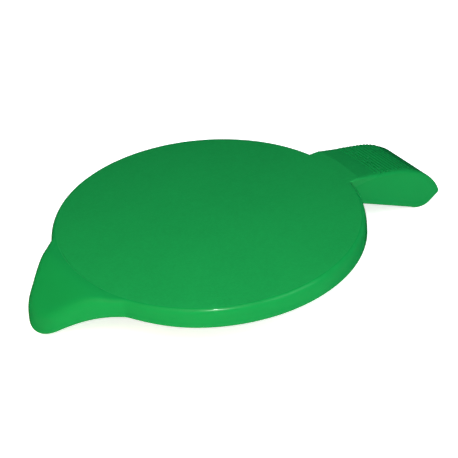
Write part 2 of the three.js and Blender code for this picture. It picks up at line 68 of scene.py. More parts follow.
# Hood: a wedge with a round tip, joined to the rim by hollow fillets.
HOOD_TIP_X = -64.8
HOOD_TIP_R = 11.5
HOOD_HALF_ANGLE = math.radians(40.5)
HOOD_FILLET = 6
HOOD_ROOT = 4  # the rim turns into the hood over this distance
HOOD_STEP = 0.15  # the hood's top lies this much below the round face
HOOD_SWELL = 3.2  # the same bulge as the rim's, on the hood
HOOD_POWER = 3.4
HOOD_CROWN = 1.1  # a low crown across the hood, just outside the rim
HOOD_CROWN_X = -52.5
HOOD_CROWN_WIDTH = 5
HOOD_BEND_START = 0.937  # where the hood starts to droop, as a share of the lid's radius
HOOD_BEND = 1.37
HOOD_BEND_EASE = 0.61
HOOD_ARCH = 0.6  # the lower edge lifts this much where the hood joins the rim
HOOD_ARCH_WIDTH = math.radians(14)

# Thumb lever: an open channel with a ribbed top that curls down at its end. Points are x and z.
LEVER_HALF = 11.15
LEVER_WALL = 1.6
LEVER_ROOT = (46, TOP)
LEVER_ROOT_LOW = 1.45  # the lever's lower edge meets the rim at this height
LEVER_FLAT = (52.3, TOP)  # the top is flat as far as here
LEVER_FLAT_ROUND = 0.3
LEVER_RAMP = (52.7, 8.0)
LEVER_RAMP_STOPS = (58, 62)  # points along the ramp, so that its long faces are cut up
LEVER_BEND = (66.7, 4.7)
LEVER_CURL = ((72.5, 3.33), (82, -1))  # the two pulls of the curl's curve
LEVER_TIP = (84.4, -9.6)
LEVER_TIP_PULL = (84.4, -10.3)
LEVER_TIP_FOOT = (83.5, -10.7)
LEVER_HEEL_START = (80.9, -12.2)
LEVER_HEEL_PULL = (79.3, -13.35)
LEVER_HEEL = (77, -13.25)
LEVER_HEEL_RISE = (74.4, -13)
LEVER_HEEL_END = (72.5, -11.7)
LEVER_BOW = (53, 64)  # the root is bent about the lid's centre, fading out between these
LEVER_EDGE = 1.25  # the soft edge along the top
LEVER_SHARP_EDGE = 0.35  # every other edge
LEVER_EDGE_START = 47  # the soft edge starts here
LEVER_EDGE_FADE = (-8, 2)  # it turns sharp towards the tip, between these heights
LEVER_EDGE_ROOT = (52, 60)  # it is slimmer at the root, by the share below
LEVER_EDGE_SLIM = 0.6
LEVER_NOSE = 3  # solid plastic behind the lever's tip
LEVER_NOSE_DROP = 1.2
LEVER_HOLLOW_START = 44
RIB_FIRST_X = 59.5
RIB_PITCH = 1.4
RIB_COUNT = 11
RIB_WIDTH = 1.0
RIB_PROUD = 0.2
RIB_HALF = 10.2

# Hinge under the lever's root.
HINGE_X = 55
HINGE_Z = 2.4
HINGE_PIN_R = 1
HINGE_PIN_HALF = 9.2
HINGE_BORE_R = 1.3
KNUCKLE_R = 2.4
KNUCKLE_IN = 3.2
KNUCKLE_OUT = 6.6
EAR_IN = 6.9
EAR_OUT = 8.9
EAR_SNAP_WIDTH = 1.7
EAR_SNAP_DEPTH = 4
EAR_WEB_HALF = 1.8
EAR_WEB_TOP = CEILING - 0.4
SPRING_COIL_R = 1.9
SPRING_WIRE_R = 0.35
SPRING_TURNS = 5
SPRING_HALF = 2.3
SPRING_ARM_RISE = math.radians(7.8)
SPRING_BASE_LEG = 7.8
SPRING_COVER_LEG = 12.6
SPRING_END = 0.1  # the wire's ends are broken over this length, to the share below
SPRING_END_SHARE = 0.7
SPRING_BAR_START = 1  # the bar over the spring's leg, outwards from the tray's wall
SPRING_BAR_END = 3
SPRING_BAR_LOW = 1.2

# Base tray: a shallow dish inside the cover's rim.
TRAY_R = 46.6
TRAY_WALL = 1.6
TRAY_FLOOR = 1
TRAY_HEIGHT = 6.3
TONGUE_THICK = 2
TONGUE_ROOT = 2  # the tongue starts this far inside the tray's outer wall
TONGUE_SLOT = 0.4  # its slot starts this far outside it
SPIGOT_R = 36
SPIGOT_WALL = 1.6
SPIGOT_DEPTH = 6
SPIGOT_TAPER_START = -1.2  # the spigot tapers in below this height
SPIGOT_TAPER = 0.9
SPIGOT_DRAFT = 0.4
CRUSH_RIBS = 8
CRUSH_RIB_PROUD = 0.7
CRUSH_RIB_WIDTH = 1
CRUSH_RIB_LOW = 0.8  # the crush ribs' ends, up from the spigot's foot
CRUSH_RIB_HIGH = 3.8
SEAT_LIP_R = 44.8
SEAT_LIP_WALL = 1
SEAT_LIP_DEPTH = 0.8
HUB_R = 11.2
STIFFENER = 1.2
STIFFENER_DEPTH = 1.5
GASKET_LOW = -1.5
GASKET_BEAD_R = 0.25
GASKET_BEAD_INSET = 2

# Way in: a gate in the tray's wall, a run with the flap across it, and the chute.
GATE_HALF = 6.5
GATE_INSET = 0.6
RUN_HALF = 7.7
RUN_WALL = 1.2
SILL = 0.8
CHUTE_X = -20
CHUTE_HOLE_R = 6.8
CHUTE_FLANGE_R = 7.4
CHUTE_FLANGE = 0.5
CHUTE_TOP_R = 6.5
CHUTE_MOUTH_R = 5.7
CHUTE_FOOT_R = 5.3
CHUTE_FOOT_WALL = 0.7
CHUTE_FOOT = -6.5
FLAP_X = -37
FLAP_Z = 5
FLAP_PIN_R = 0.5
FLAP_PIN_HALF = 8.6
FLAP_HALF = 7.3
FLAP_KNUCKLE_R = 1.3
FLAP_THICK = 0.8

# Between pieces.
FIT = 0.3  # play between pieces that move or drop in
OVER = 0.2  # parts of one moulding overlap by this where they meet end to end
SUNK = 0.5  # and by this where one is sunk into the other
PAST = 1  # cuts run this far past the faces that they open

# Fineness of round shapes.
LID_STEPS = 216
NOSE_STEPS = 36
FILLET_STEPS = 14
FLANK_STEPS = 20
SLOPE_STEPS = 14
CORNER_STEPS = 5
BAR_STEPS = 40
PIN_STEPS = 48
RING_STEPS = 96
CHUTE_STEPS = 120
SPRING_STEPS = 260
WIRE_STEPS = 14
LEVER_ACROSS = 10


# ---- Outlines ----

def arc(cx, cy, radius, start, end, steps):
    """Points on a circle from one angle to another, both ends included."""
    points = []
    for i in range(steps + 1):
        angle = start + (end - start) * i / steps
        points.append(Vector((cx + radius * math.cos(angle), cy + radius * math.sin(angle))))
    return points


def circle(cx, cy, radius, steps=BAR_STEPS):
    """A closed round outline."""
    return arc(cx, cy, radius, 0, math.tau, steps)[:-1]


def curve(start, pull, end, steps):
    """Points on a quadratic curve after its start, up to and including its end."""
    a, b, c = Vector(start), Vector(pull), Vector(end)
    points = []
    for i in range(1, steps + 1):
        t = i / steps
        points.append(a * (1 - t) ** 2 + b * 2 * t * (1 - t) + c * t ** 2)
    return points


def cubic(start, pull, push, end, steps):
    """Points on a cubic curve after its start, up to and including its end."""
    a, b, c, d = Vector(start), Vector(pull), Vector(push), Vector(end)
    points = []
    for i in range(1, steps + 1):
        t = i / steps
        u = 1 - t
        points.append(a * u ** 3 + b * 3 * u * u * t + c * 3 * u * t * t + d * t ** 3)
    return points


def rounded(corners):
    """A closed outline from (x, y, radius) corners, each drawn as an arc of its radius."""
    outline = []
    count = len(corners)
    for i, (x, y, radius) in enumerate(corners):
        here = Vector((x, y))
        if radius == 0:
            outline.append(here)
            continue
        back = (Vector(corners[i - 1][:2]) - here).normalized()
        ahead = (Vector(corners[(i + 1) % count][:2]) - here).normalized()
        half = back.angle(ahead) / 2
        centre = here + (back + ahead).normalized() * (radius / math.sin(half))
        first = here + back * (radius / math.tan(half)) - centre
        last = here + ahead * (radius / math.tan(half)) - centre
        start = math.atan2(first.y, first.x)
        sweep = (math.atan2(last.y, last.x) - start + math.pi) % math.tau - math.pi
        outline += arc(centre.x, centre.y, radius, start, start + sweep, CORNER_STEPS)
    return outline


def rectangle(x0, x1, y0, y1, radius=0):
    """A closed rectangle with rounded corners."""
    return rounded([(x0, y0, radius), (x1, y0, radius), (x1, y1, radius), (x0, y1, radius)])


# ---- Solids ----

def side(u, v, w):
    """A side view, drawn in x and z, and thick along y."""
    return Vector((u, w, v))


def plan(u, v, w):
    """A plan view, drawn in x and y, and thick along z."""
    return Vector((u, v, w))


def solid(vertices, faces):
    """A new closed mesh object with its faces turned outwards."""
    mesh = bpy.data.meshes.new("solid")
    mesh.from_pydata([tuple(v) for v in vertices], [], faces)
    bm = bmesh.new()
    bm.from_mesh(mesh)
    bmesh.ops.remove_doubles(bm, verts=bm.verts, dist=1e-5)
    bmesh.ops.recalc_face_normals(bm, faces=bm.faces)
    bm.to_mesh(mesh)
    bm.free()
    made = bpy.data.objects.new("solid", mesh)
    bpy.context.scene.collection.objects.link(made)
    return made


def skinned(rings, first=None, last=None):
    """A solid skinned over closed rings of equal point counts. Its ends are points, or flat faces."""
    vertices = [v for ring in rings for v in ring]
    count = len(rings[0])
    faces = []
    for k in range(len(rings) - 1):
        for i in range(count):
            j = (i + 1) % count
            faces.append((k * count + i, k * count + j, (k + 1) * count + j, (k + 1) * count + i))
    for start, point in ((0, first), ((len(rings) - 1) * count, last)):
        if point is None:
            faces.append(tuple(range(start, start + count)))
            continue
        vertices.append(point)
        tip = len(vertices) - 1
        faces += [(start + i, start + (i + 1) % count, tip) for i in range(count)]
    return solid(vertices, faces)


def turned(outline, sides=LID_STEPS, x=0):
    """A solid of revolution about a vertical axis, from a closed outline of (radius, height) points."""
    vertices = []
    for r, z in outline:
        for i in range(sides):
            angle = math.tau * i / sides
            vertices.append(plan(x + r * math.cos(angle), r * math.sin(angle), z))
    faces = []
    count = len(outline)
    for k in range(count):
        n = (k + 1) % count
        if outline[k][0] < 1e-6 and outline[n][0] < 1e-6:
            continue
        for i in range(sides):
            j = (i + 1) % sides
            faces.append((k * sides + i, k * sides + j, n * sides + j, n * sides + i))
    return solid(vertices, faces)


def inward(outline):
    """At each point of an anticlockwise outline, the step that moves both of its sides in by 1."""
    steps = []
    count = len(outline)
    for i in range(count):
        back = (outline[i] - outline[i - 1]).normalized()
        ahead = (outline[(i + 1) % count] - outline[i]).normalized()
        normal = Vector((-back.y - ahead.y, back.x + ahead.x)).normalized()
        spread = max(0.3, normal.dot(Vector((-ahead.y, ahead.x))))
        steps.append(normal / spread)
    return steps


def edge_ring(outline, moves, radii, turn, level, direction, place):
    """A ring of a prism's rounded edge. The edge leaves the level in a direction, 1 for up."""
    ring = []
    for p, move, radius in zip(outline, moves, radii):
        q = p + move * (radius * (1 - math.sin(turn)))
        ring.append(place(q.x, q.y, level + direction * radius * (1 - math.cos(turn))))
    return ring


def prism(outline, low, high, place=plan, edge=0.0, across=0):
    """An outline made thick, with rounded edges. The edge is one radius, or one for each point."""
    radii = edge if isinstance(edge, list) else [edge] * len(outline)
    moves = inward(outline)
    turns = [math.radians(a) for a in (0, 22, 45, 67, 90)] if max(radii) else [math.pi / 2]
    rings = [edge_ring(outline, moves, radii, turn, low, 1, place) for turn in turns]
    for i in range(1, across):
        level = low + (high - low) * i / across
        rings.append([place(p.x, p.y, level) for p in outline])
    rings += [edge_ring(outline, moves, radii, turn, high, -1, place) for turn in reversed(turns)]
    return skinned(rings)


def block(x0, x1, y0, y1, z0, z1, edge=0.0):
    """A block with rounded edges."""
    return prism(rectangle(x0, x1, y0, y1, edge), z0, z1, plan, edge)


def turn_about_z(piece, degrees):
    """Turns a piece about the lid's axis."""
    piece.data.transform(Matrix.Rotation(math.radians(degrees), 4, "Z"))
    return piece


def combine(target, tools, operation="UNION"):
    """The target with every tool joined to it, or cut from it. The tools are used up."""
    for tool in tools:
        modifier = target.modifiers.new("combine", "BOOLEAN")
        modifier.object = tool
        modifier.operation = operation
        modifier.solver = "MANIFOLD"
    bpy.context.view_layer.update()
    depsgraph = bpy.context.evaluated_depsgraph_get()
    mesh = bpy.data.meshes.new_from_object(target.evaluated_get(depsgraph))
    target.modifiers.clear()
    target.data = mesh
    for tool in tools:
        bpy.data.objects.remove(tool)
    return target


def finish_piece(piece, name, material, sharp=32):
    """Names the piece, scales it to metres, and shades it smooth between its sharp edges."""
    piece.name = name
    mesh = piece.data
    mesh.name = name
    mesh.transform(Matrix.Scale(MM, 4))
    bm = bmesh.new()
    bm.from_mesh(mesh)
    bmesh.ops.remove_doubles(bm, verts=bm.verts, dist=2e-6)
    bmesh.ops.dissolve_degenerate(bm, edges=bm.edges, dist=1e-6)
    for face in bm.faces:
        face.smooth = True
    for edge in bm.edges:
        edge.smooth = len(edge.link_faces) == 2 and edge.calc_face_angle(0) < math.radians(sharp)
    bm.to_mesh(mesh)
    bm.free()
    mesh.materials.clear()
    mesh.materials.append(material)
    weighted = piece.modifiers.new("even shading", "WEIGHTED_NORMAL")
    weighted.keep_sharp = True
    return piece


# ---- Cover ----

def smoothstep(value, low, high):
    """0 below low, 1 above high, and an even ease between them."""
    t = min(1.0, max(0.0, (value - low) / (high - low)))
    return t * t * (3 - 2 * t)


def with_normals(points, centre, hollow=False):
    """Each point of an arc with its outward normal. A hollow arc has its centre outside."""
    found = []
    for p in points:
        normal = (p - Vector(centre)).normalized()
        found.append((p, -normal if hollow else normal))
    return found


def line_outline(start, end, normal, steps):
    """Points along a straight line with its normal, without the last one."""
    return [(start.lerp(end, i / steps), normal.copy()) for i in range(steps)]


def cover_outline():
    """The outline of the lid and hood, anticlockwise, and the angle where the hood's fillet meets the rim."""
    def flip(v):
        return Vector((v.x, -v.y))

    tip = Vector((HOOD_TIP_X + HOOD_TIP_R, 0))
    along = Vector((math.cos(HOOD_HALF_ANGLE), math.sin(HOOD_HALF_ANGLE)))
    out = Vector((-along.y, along.x))
    reach = out.dot(tip) + HOOD_TIP_R + HOOD_FILLET
    slide = -math.sqrt((LID_R + HOOD_FILLET) ** 2 - reach ** 2)
    fillet = out * reach + along * slide
    root = math.atan2(fillet.y, fillet.x)
    flank_start = fillet - out * HOOD_FILLET
    flank_end = tip + out * HOOD_TIP_R
    turn = math.atan2(out.y, out.x)
    upper = arc(fillet.x, fillet.y, HOOD_FILLET, root - math.pi, turn - math.pi, FILLET_STEPS)[:-1]
    lower = arc(fillet.x, -fillet.y, HOOD_FILLET, math.pi - turn, math.pi - root, FILLET_STEPS)[:-1]
    nose = arc(tip.x, 0, HOOD_TIP_R, turn, math.tau - turn, NOSE_STEPS)[:-1]
    outline = with_normals(arc(0, 0, LID_R, -root, root, LID_STEPS)[:-1], (0, 0))
    outline += with_normals(upper, fillet, hollow=True)
    outline += line_outline(flank_start, flank_end, out, FLANK_STEPS)
    outline += with_normals(nose, tip)
    outline += line_outline(flip(flank_end), flip(flank_start), flip(out), FLANK_STEPS)
    outline += with_normals(lower, flip(fillet), hollow=True)
    return outline, root


def hood_droop(x):
    """How far the hood hangs below the level of the lid."""
    past = max(0.0, -x / LID_R - HOOD_BEND_START)
    return LID_R * HOOD_BEND * past ** 2 / (1 + (past / HOOD_BEND_EASE) ** 4)


def hood_share(place):
    """0 on the round rim, rising to 1 out on the hood."""
    return smoothstep(place.length, LID_R, LID_R + HOOD_ROOT)


def skin_height(share, x, depth=0.0):
    """The height of the cover's top, or of a skin that much below it."""
    crown = HOOD_CROWN * math.exp(-(((x - HOOD_CROWN_X) / HOOD_CROWN_WIDTH) ** 2))
    return TOP - depth - HOOD_STEP * share - hood_droop(x) + crown * share


def circle_ring(outline, radius, height):
    """A round ring with a point for each point of the outline. height is a function of the place."""
    ring = []
    for place, _ in outline:
        p = place.normalized() * radius
        ring.append(Vector((p.x, p.y, height(place, p))))
    return ring


def inset_ring(outline, distance, height):
    """A ring inside the outline. distance and height are functions of the place on the outline."""
    ring = []
    for place, normal in outline:
        p = place - normal * distance(place)
        ring.append(Vector((p.x, p.y, height(place, p))))
    return ring


def rings_between(outline, inner, outer, count, depth):
    """Rings from one ring towards another, lying on the cover's top skin."""
    rings = []
    for k in range(1, count + 1):
        ring = []
        for (place, _), a, b in zip(outline, inner, outer):
            p = a.lerp(b, k / count)
            p.z = skin_height(hood_share(place), p.x, depth)
            ring.append(p)
        rings.append(ring)
    return rings


def rim_swell(place):
    """How far the wall bulges out below the shoulder at a place on the outline."""
    return RIM_SWELL + (HOOD_SWELL - RIM_SWELL) * hood_share(place)


def rim_top(place, p):
    """The height of the top skin at a point inside a place on the outline."""
    return skin_height(hood_share(place), p.x)


def rim_foot(place, root):
    """The height of the cover's lower edge, which arches up a little beside the hood's root."""
    off = abs(math.atan2(place.y, place.x)) - root
    return RIM_BOTTOM - hood_droop(place.x) + HOOD_ARCH * math.exp(-((off / HOOD_ARCH_WIDTH) ** 2))


def bulge_ring(outline, root, shoulder, degrees):
    """A ring of the wall's bulge, where the surface has turned by an angle from level."""
    ring = []
    for (place, normal), crown in zip(outline, shoulder):
        power = RIM_POWER + (HOOD_POWER - RIM_POWER) * hood_share(place)
        swell = rim_swell(place)
        low = rim_foot(place, root)
        lean = (math.tan(math.radians(degrees)) * swell / (crown.z - low)) ** (1 / (power - 1))
        up = (1 + lean ** power) ** (-1 / power)
        p = place - normal * (swell * (1 - lean * up))
        ring.append(Vector((p.x, p.y, low + (rim_top(place, p) - low) * up)))
    return ring


def foot_ring(outline, root, degrees):
    """A ring of the small round along the wall's lower edge."""
    turn = math.radians(degrees)
    inset = RIM_FOOT_ROUND * (1 - math.cos(turn))
    lift = RIM_FOOT_ROUND * (1 - math.sin(turn))
    return inset_ring(outline, lambda place: inset, lambda place, p: rim_foot(place, root) + lift)


def cover_block(outline, root):
    """The lid and hood as one solid, up to the outer skin."""
    face = circle_ring(outline, FACE_R, lambda place, p: TOP)
    brink = circle_ring(outline, FACE_R + HOOD_STEP, rim_top)
    shoulder = inset_ring(outline, rim_swell, rim_top)
    slope = rings_between(outline, brink, shoulder, SLOPE_STEPS, 0)
    turns = (1, 3, 6, 10, 15, 21, 28, 36, 45, 54, 62, 69, 75, 80, 84, 87, 89)
    walls = [bulge_ring(outline, root, shoulder, degrees) for degrees in turns]
    foot = [foot_ring(outline, root, degrees) for degrees in (0, 30, 60, 90)]
    sole = inset_ring(outline, lambda place: RIM_WALL * 2, lambda place, p: rim_foot(place, root))
    rings = [face, brink, *slope, *walls, *foot, sole]
    return skinned(rings, Vector((0, 0, TOP)), Vector((0, 0, RIM_BOTTOM)))


def cover_hollow(outline):
    """The hollow under the lid and hood, with a rounded corner under the shoulder."""
    wall_top = TOP - CORNER_DROP

    def roof(place, p):
        return skin_height(hood_share(place), p.x, ROOF)

    middle = circle_ring(outline, TRAY_R - 1, lambda place, p: CEILING)
    corner = inset_ring(outline, lambda place: RIM_WALL + CORNER_INSET, roof)
    slope = rings_between(outline, middle, corner, 8, ROOF)
    walls = []
    for degrees in (18, 36, 54, 72, 90):
        turn = math.radians(degrees)
        ring = []
        for (place, normal), crown in zip(outline, corner):
            p = place - normal * (RIM_WALL + CORNER_INSET * (1 - math.sin(turn)))
            low = wall_top - hood_droop(place.x)
            ring.append(Vector((p.x, p.y, low + (crown.z - low) * math.cos(turn))))
        walls.append(ring)
    foot = inset_ring(outline, lambda place: RIM_WALL, lambda place, p: LOWEST_CUT)
    rings = [middle, *slope, *walls, foot]
    return skinned(rings, Vector((0, 0, CEILING)), Vector((0, 0, LOWEST_CUT)))


def ramp_point(x):
    """A point of the ramp between the lever's flat root and its curl, in x and z."""
    slope = (LEVER_BEND[1] - LEVER_RAMP[1]) / (LEVER_BEND[0] - LEVER_RAMP[0])
    return Vector((x, LEVER_RAMP[1] + (x - LEVER_RAMP[0]) * slope))


def lever_top():
    """The lever's top line from its root to its tip, in x and z."""
    return [
        Vector(LEVER_ROOT),
        *curve((LEVER_FLAT[0] - LEVER_FLAT_ROUND, TOP), LEVER_FLAT, LEVER_RAMP, 5),
        *[ramp_point(x) for x in LEVER_RAMP_STOPS],
        Vector(LEVER_BEND),
        *cubic(LEVER_BEND, *LEVER_CURL, LEVER_TIP, 32),
    ]


def lever_heel():
    """The lever's line from its tip round the heel and back along its lower edge, in x and z."""
    return [
        *curve(LEVER_TIP, LEVER_TIP_PULL, LEVER_TIP_FOOT, 4),
        Vector(LEVER_HEEL_START),
        *curve(LEVER_HEEL_START, LEVER_HEEL_PULL, LEVER_HEEL, 6),
        *curve(LEVER_HEEL, LEVER_HEEL_RISE, LEVER_HEEL_END, 6),
        Vector((LEVER_ROOT[0], LEVER_ROOT_LOW)),
    ]


def fan_out(piece):
    """Bends the lever's root into an arc about the lid's centre, fading out along the lever."""
    for v in piece.data.vertices:
        bow = math.hypot(v.co.x, v.co.y) - v.co.x
        v.co.x -= bow * (1 - smoothstep(v.co.x, *LEVER_BOW))
    return piece


def lever_edge(p):
    """The lever's edge radius at a point of its outline: soft along the top and sharp elsewhere."""
    if p.y <= LEVER_EDGE_FADE[0] or p.x <= LEVER_EDGE_START:
        return LEVER_SHARP_EDGE
    slim = 1 - smoothstep(p.x, *LEVER_EDGE_ROOT)
    soft = smoothstep(p.y, *LEVER_EDGE_FADE) * (1 - LEVER_EDGE_SLIM * slim)
    return LEVER_SHARP_EDGE + (LEVER_EDGE - LEVER_SHARP_EDGE) * soft


def lever_block():
    """The lever as a solid block."""
    outline = list(reversed(lever_top() + lever_heel()))
    radii = [lever_edge(p) for p in outline]
    radii[0] = radii[-1] = LEVER_SHARP_EDGE
    return fan_out(prism(outline, -LEVER_HALF, LEVER_HALF, side, radii, LEVER_ACROSS))


def lever_hollow():
    """The channel inside the lever, which runs on into the hollow under the lid."""
    under = [Vector((LEVER_HOLLOW_START, LOWEST_CUT)), Vector((LEVER_HOLLOW_START, CEILING))]
    end = LEVER_TIP[0] - LEVER_NOSE
    top = lever_top()
    for a, b in zip(top, top[1:]):
        slope = (b - a).normalized()
        p = b + Vector((slope.y, -slope.x)) * ROOF
        if under[-1].x + OVER < p.x < end:
            under.append(p)
    under.append(Vector((end, under[-1].y - LEVER_NOSE_DROP)))
    under.append(Vector((end, LOWEST_CUT)))
    half = LEVER_HALF - LEVER_WALL
    return fan_out(prism(list(reversed(under)), -half, half, side, across=LEVER_ACROSS))


def point_on(line, x):
    """The place and direction of a line of points where it passes x."""
    for a, b in zip(line, line[1:]):
        if a.x <= x <= b.x and b.x > a.x:
            return a.lerp(b, (x - a.x) / (b.x - a.x)), (b - a).normalized()
    raise ValueError(x)


def grip_rib(top, x):
    """A low half-round rib across the lever's top."""
    place, slope = point_on(top, x)
    rise = Vector((-slope.y, slope.x))
    section = []
    for p in circle(0, 0, 1, 18):
        section.append(place + slope * (p.x * RIB_WIDTH / 2) + rise * (p.y * RIB_PROUD))
    return fan_out(prism(section, -RIB_HALF, RIB_HALF, side, 0.12, across=6))


def snap_ear(sign):
    """One ear of the cover, which snaps down over the hinge pin."""
    y0, y1 = sorted((sign * EAR_IN, sign * EAR_OUT))
    web_outline = rectangle(HINGE_X - EAR_WEB_HALF, HINGE_X + EAR_WEB_HALF, HINGE_Z, EAR_WEB_TOP)
    snap_half = EAR_SNAP_WIDTH / 2
    snap_outline = rectangle(HINGE_X - snap_half, HINGE_X + snap_half, HINGE_Z - EAR_SNAP_DEPTH, HINGE_Z)
    eye = prism(circle(HINGE_X, HINGE_Z, KNUCKLE_R), y0, y1, side, 0.25)
    web = prism(web_outline, y0, y1, side)
    bore = prism(circle(HINGE_X, HINGE_Z, HINGE_BORE_R), y0 - PAST, y1 + PAST, side)
    mouth = prism(snap_outline, y0 - PAST, y1 + PAST, side)
    return combine(combine(eye, [web]), [bore, mouth], "DIFFERENCE")


def cover_rib(degrees):
    """One of the ribs that stiffen the lid from below."""
    low = CEILING - COVER_RIB_DEPTH
    half = STIFFENER / 2
    rib = block(COVER_RIB_START, COVER_RIB_END, -half, half, low, CEILING + 0.4, 0.3)
    return turn_about_z(rib, degrees)


def make_cover(material):
    """The whole green moulding: lid, hood, lever, ribs and ears."""
    outline, root = cover_outline()
    top = lever_top()
    grip = [grip_rib(top, RIB_FIRST_X + i * RIB_PITCH) for i in range(RIB_COUNT)]
    ribs = [cover_rib(degrees) for degrees in (-120, -60, 0, 60, 120)]
    shell = combine(cover_block(outline, root), [lever_block(), *grip])
    shell = combine(shell, [cover_hollow(outline), lever_hollow()], "DIFFERENCE")
    shell = combine(shell, [*ribs, snap_ear(1), snap_ear(-1)])
    return finish_piece(shell, "cover", material)


# ---- Base tray ----

def run_walls():
    """The two walls of the run and the round end behind the chute, notched for the flap's pin."""
    start = -TRAY_R + TRAY_WALL / 2
    outer = RUN_HALF + RUN_WALL
    quarter = math.pi / 2
    outline = [
        Vector((start, -outer)),
        *arc(CHUTE_X, 0, outer, -quarter, quarter, BAR_STEPS),
        Vector((start, outer)),
        Vector((start, RUN_HALF)),
        *arc(CHUTE_X, 0, RUN_HALF, quarter, -quarter, BAR_STEPS),
        Vector((start, -RUN_HALF)),
    ]
    walls = prism(outline, TRAY_FLOOR - SUNK, TRAY_HEIGHT, plan, 0.3)
    half = FLAP_PIN_R + FIT
    notch = block(FLAP_X - half, FLAP_X + half, -outer - PAST, outer + PAST, FLAP_Z - half, TOP)
    return combine(walls, [notch], "DIFFERENCE")


def flap_sill():
    """The low bar across the run that the flap hangs against."""
    near = FLAP_X - FLAP_THICK / 2 - FIT
    half = RUN_HALF + OVER
    return block(near - SILL, near, -half, half, TRAY_FLOOR - SUNK, TRAY_FLOOR + SILL, 0.2)


def hinge_tongue():
    """The tongue that carries the hinge pin, slotted for the spring, with a bar over the spring's leg."""
    bar_start = TRAY_R + SPRING_BAR_START
    bar_end = TRAY_R + SPRING_BAR_END
    bar_half = KNUCKLE_IN + 0.3
    plate = block(TRAY_R - TONGUE_ROOT, HINGE_X, -KNUCKLE_OUT, KNUCKLE_OUT, 0, TONGUE_THICK, 0.3)
    knuckle = prism(circle(HINGE_X, HINGE_Z, KNUCKLE_R), -KNUCKLE_OUT, KNUCKLE_OUT, side, 0.25)
    slot = block(TRAY_R + TONGUE_SLOT, HINGE_X + 4, -KNUCKLE_IN, KNUCKLE_IN, -PAST, TOP)
    bar = block(bar_start, bar_end, -bar_half, bar_half, SPRING_BAR_LOW, TONGUE_THICK, 0.2)
    bore = prism(circle(HINGE_X, HINGE_Z, HINGE_BORE_R), -LID_R, LID_R, side)
    tongue = combine(plate, [knuckle])
    tongue = combine(tongue, [slot], "DIFFERENCE")
    tongue = combine(tongue, [bar])
    return combine(tongue, [bore], "DIFFERENCE")


def crush_rib(degrees):
    """One of the small ribs on the spigot that take up the play in the glass."""
    foot = -SPIGOT_DEPTH
    half = CRUSH_RIB_WIDTH / 2
    inner = SPIGOT_R - SPIGOT_TAPER
    outer = SPIGOT_R + CRUSH_RIB_PROUD
    rib = block(inner, outer, -half, half, foot + CRUSH_RIB_LOW, foot + CRUSH_RIB_HIGH, 0.35)
    return turn_about_z(rib, degrees)


def spigot():
    """The ring that centres the trap in the mouth of the glass."""
    foot = -SPIGOT_DEPTH
    inner = SPIGOT_R - SPIGOT_WALL
    skirt = turned(rounded([
        (inner, OVER, 0),
        (inner - SPIGOT_DRAFT, foot, 0.35),
        (SPIGOT_R - SPIGOT_TAPER, foot, 0.35),
        (SPIGOT_R, SPIGOT_TAPER_START, 1),
        (SPIGOT_R, OVER, 0),
    ]))
    return combine(skirt, [crush_rib((i + 0.5) * 360 / CRUSH_RIBS) for i in range(CRUSH_RIBS)])


def floor_rib(degrees):
    """One of the radial ribs under the tray's floor, from the hub out to the spigot."""
    half = STIFFENER / 2
    outer = SPIGOT_R - SPIGOT_WALL + SUNK
    return turn_about_z(block(HUB_R - SUNK, outer, -half, half, -STIFFENER_DEPTH, SUNK, 0.25), degrees)


def floor_stiffeners():
    """The hub and radial ribs that stiffen the tray's floor from below."""
    low = -STIFFENER_DEPTH
    inner = HUB_R - STIFFENER
    hub_outline = [(inner, low, 0.25), (HUB_R, low, 0.25), (HUB_R, OVER, 0), (inner, OVER, 0)]
    hub = turned(rounded(hub_outline), RING_STEPS)
    return combine(hub, [floor_rib(degrees) for degrees in range(-135, 136, 45)])


def seat_lip():
    """The thin lip round the outside of the gasket."""
    inner = SEAT_LIP_R - SEAT_LIP_WALL
    outer = SEAT_LIP_R
    low = -SEAT_LIP_DEPTH
    return turned(rounded([(inner, low, 0.3), (outer, low, 0.3), (outer, OVER, 0), (inner, OVER, 0)]))


def make_tray(material):
    """The tray: a dish with the gate, the run, the hinge tongue and what centres it on the glass."""
    inner = TRAY_R - TRAY_WALL
    dish = turned(rounded([
        (0, 0, 0),
        (TRAY_R, 0, 0.5),
        (TRAY_R, TRAY_HEIGHT, 0.4),
        (inner, TRAY_HEIGHT, 0.4),
        (inner, TRAY_FLOOR, 0.6),
        (0, TRAY_FLOOR, 0),
    ]))
    gate = block(-TRAY_R - PAST, -inner + GATE_INSET, -GATE_HALF, GATE_HALF, TRAY_FLOOR, TOP)
    high = TRAY_FLOOR + PAST
    hole_outline = [(0, -PAST), (CHUTE_HOLE_R, -PAST), (CHUTE_HOLE_R, high), (0, high)]
    hole = turned(hole_outline, RING_STEPS, CHUTE_X)
    dish = combine(dish, [run_walls()])
    dish = combine(dish, [gate], "DIFFERENCE")
    dish = combine(dish, [flap_sill(), hinge_tongue(), seat_lip(), spigot(), floor_stiffeners()])
    return finish_piece(combine(dish, [hole], "DIFFERENCE"), "tray", material)


# ---- Small pieces ----

def make_gasket(material):
    """A flat ring with two sealing beads round its underside."""
    inner = SPIGOT_R + FIT
    outer = SEAT_LIP_R - SEAT_LIP_WALL - FIT
    low = GASKET_LOW + GASKET_BEAD_R
    bead_radii = (inner + GASKET_BEAD_INSET, outer - GASKET_BEAD_INSET)
    ring = turned(rounded([(inner, low, 0.3), (outer, low, 0.3), (outer, -FIT, 0.3), (inner, -FIT, 0.3)]))
    beads = [turned(circle(radius, low, GASKET_BEAD_R, 12)) for radius in bead_radii]
    return finish_piece(combine(ring, beads), "gasket", material)


def make_pin(name, x, z, radius, half, material):
    """A round pin along y with broken edges."""
    pin = prism(circle(x, z, radius, PIN_STEPS), -half, half, side, radius * 0.2)
    return finish_piece(pin, name, material)


